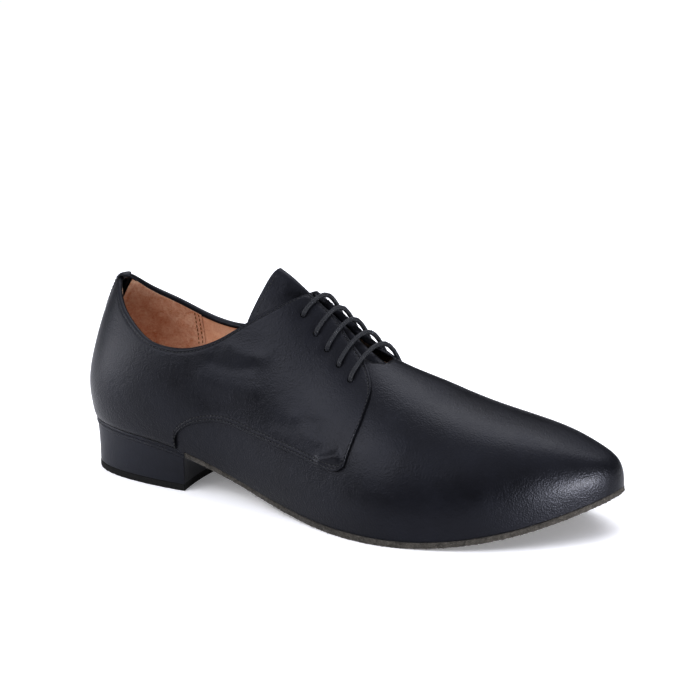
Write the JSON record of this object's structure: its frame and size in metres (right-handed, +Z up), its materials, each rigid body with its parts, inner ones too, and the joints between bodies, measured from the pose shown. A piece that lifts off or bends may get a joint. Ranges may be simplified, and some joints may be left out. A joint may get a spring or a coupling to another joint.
{
  "type": "ballroom dance shoe",
  "caption": "Right low-heeled leather lace-up dance shoe with an open hollow upper, flexible suede outsole and a block heel.",
  "frame": {"origin": "on the floor, under the centre of the shoe's box", "axes": "+X towards the toe, +Y towards the wearer's left (the inner side of this right shoe), +Z up"},
  "size_m": [0.2927, 0.104, 0.1154],
  "materials": {
    "upper": "smooth black leather, fine grain, soft gloss",
    "quarter_lateral": "smooth black leather, fine grain, soft gloss",
    "quarter_medial": "smooth black leather, fine grain, soft gloss",
    "back_strip": "smooth black leather",
    "tongue": "smooth black leather",
    "lace": "round braided black cord, lightly waxed",
    "insole": "tan suede sock",
    "outsole": "brushed grey-brown chrome suede",
    "heel": "smooth black leather cover",
    "top_lift": "matt black rubber"
  },
  "bodies": {
    "root": {"upper": "upper", "quarter_lateral": "quarter_lateral", "quarter_medial": "quarter_medial", "back_strip": "back_strip", "tongue": "tongue", "lace": "lace", "insole": "insole", "outsole": "outsole", "heel": "heel", "top_lift": "top_lift"}
  },
  "joints": []
}
